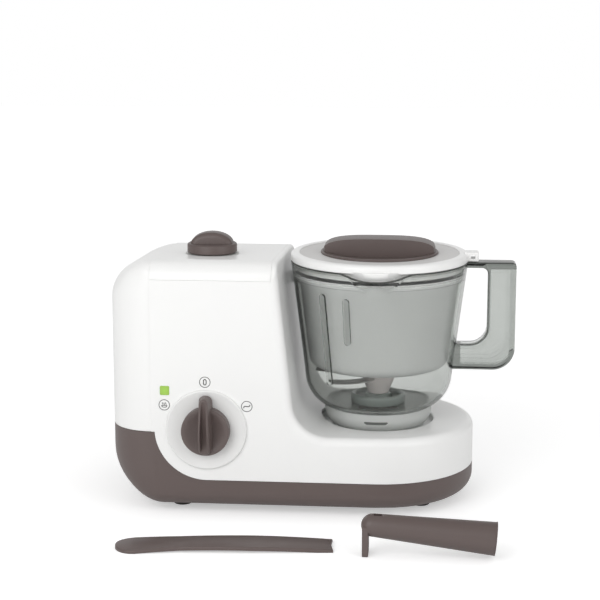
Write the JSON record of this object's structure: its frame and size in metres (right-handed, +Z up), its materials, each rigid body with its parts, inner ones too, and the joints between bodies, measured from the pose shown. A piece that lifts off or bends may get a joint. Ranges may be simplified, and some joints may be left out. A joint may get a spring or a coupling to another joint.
{
  "type": "baby food maker",
  "caption": "Steam cooker and blender with a control tower, a lift-off jar with blade, nesting steam basket, tray and lid, and two loose tools.",
  "frame": {"origin": "on the floor, below the centre of the whole set's box", "axes": "+X from the control tower to the jar and along the set's longest side, +Y from the front panel to the back, +Z up"},
  "size_m": [0.338, 0.265, 0.2301],
  "materials": {
    "white_plastic": "smooth satin white",
    "brown_plastic": "fine matte warm grey-brown",
    "nut_plastic": "matte reddish brown",
    "rubber": "matt black",
    "silicone": "soft translucent grey",
    "steel": "plain turned steel",
    "blade_steel": "polished stainless",
    "boiler_alloy": "cast aluminium",
    "bronze": "sintered bronze",
    "dark_plastic": "matt dark grey",
    "board": "green circuit board",
    "lamp_green": "clear green window",
    "smoke_clear": "clear smoke grey, polished",
    "foot_grey": "light grey",
    "hub_plastic": "pinkish white",
    "milky_plastic": "milky translucent",
    "inner_plastic": "natural moulding"
  },
  "bodies": {
    "base": {"upper_housing": "white_plastic", "lower_housing": "brown_plastic", "rubber_feet": "rubber", "housing_screws": "steel", "top_cover": "white_plastic", "dial_bezel": "white_plastic", "lamp_lens": "lamp_green", "lamp_board": "board", "rotary_switch": "inner_plastic", "boiler": "boiler_alloy", "boiler_shelf": "inner_plastic", "heating_element": "dark_plastic", "thermostat": "dark_plastic", "filler_neck": "inner_plastic", "steam_pipe": "silicone", "steam_outlet": "dark_plastic", "motor_can": "steel", "motor_bracket": "steel", "drive_belt": "rubber", "bearing_housing": "inner_plastic", "shaft_bushes": "bronze", "control_board": "board", "interlock_switch": "dark_plastic", "cord_gland": "dark_plastic"},
    "drive": {"drive_shaft": "steel", "drive_pulley": "inner_plastic", "drive_coupling": "brown_plastic"},
    "rotor": {"motor_rotor": "steel", "motor_pulley": "inner_plastic"},
    "plunger": {"interlock_plunger": "inner_plastic"},
    "knob": {"control_knob": "brown_plastic", "knob_spindle": "steel"},
    "filler_cap": {"tank_cap": "brown_plastic", "cap_gasket": "silicone"},
    "nut": {"lock_nut": "nut_plastic"},
    "jar": {"jar": "smoke_clear", "jar_foot": "foot_grey", "jar_bearing": "foot_grey", "foot_seal": "silicone"},
    "blade": {"blade_spindle": "steel", "blade_hub": "hub_plastic", "upper_blade": "blade_steel", "lower_blade": "blade_steel"},
    "basket": {"basket": "milky_plastic"},
    "tray": {"tray": "milky_plastic"},
    "lid": {"lid_shell": "white_plastic", "lid_grip": "brown_plastic", "lid_seal": "silicone"},
    "spatula": {"spatula": "brown_plastic"},
    "tool": {"extraction_tool": "brown_plastic"}
  },
  "joints": [
    {"name": "jar_turn", "type": "hinge", "parent": "base", "child": "nut", "pos_m": [0.053, 0.0485, 0.07], "axis": [0, 0, 1], "range_deg": [-30, 0]},
    {"name": "jar_lift", "type": "slide", "parent": "nut", "child": "jar", "axis": [0, 0, 1], "range_m": [0, 0.033]},
    {"name": "blade_spin", "type": "hinge", "parent": "jar", "child": "blade", "pos_m": [0.053, 0.0485, 0.1], "axis": [0, 0, 1], "continuous": true},
    {"name": "basket_lift", "type": "slide", "parent": "jar", "child": "basket", "axis": [0, 0, 1], "range_m": [0, 0.06]},
    {"name": "tray_lift", "type": "slide", "parent": "basket", "child": "tray", "axis": [0, 0, 1], "range_m": [0, 0.04]},
    {"name": "lid_lift", "type": "slide", "parent": "tray", "child": "lid", "axis": [0, 0, 1], "range_m": [0, 0.045]},
    {"name": "motor_spin", "type": "hinge", "parent": "base", "child": "rotor", "pos_m": [-0.059, 0.0705, 0.04], "axis": [0, 0, 1], "continuous": true},
    {"name": "drive_spin", "type": "hinge", "parent": "base", "child": "drive", "pos_m": [0.053, 0.0485, 0.04], "axis": [0, 0, 1], "continuous": true},
    {"name": "plunger_press", "type": "slide", "parent": "base", "child": "plunger", "axis": [0, 0, -1], "range_m": [0, 0.0015], "stiffness_N_per_m": 300},
    {"name": "knob_turn", "type": "hinge", "parent": "base", "child": "knob", "pos_m": [-0.0855, -0.0335, 0.074], "axis": [0, 1, 0], "range_deg": [-60, 60]},
    {"name": "cap_turn", "type": "hinge", "parent": "base", "child": "filler_cap", "pos_m": [-0.0876, 0.0275, 0.21], "axis": [0, 0, -1], "range_deg": [-60, 0]},
    {"name": "spatula_lift", "type": "slide", "parent": "base", "child": "spatula", "axis": [0, 0, -1], "range_m": [-0.06, 0]},
    {"name": "tool_lift", "type": "slide", "parent": "base", "child": "tool", "axis": [0, 0, -1], "range_m": [-0.06, 0]}
  ],
  "couplings": [
    {"joint": "drive_spin", "follows": "motor_spin", "ratio": 0.35484},
    {"joint": "blade_spin", "follows": "motor_spin", "ratio": 0.35484}
  ]
}
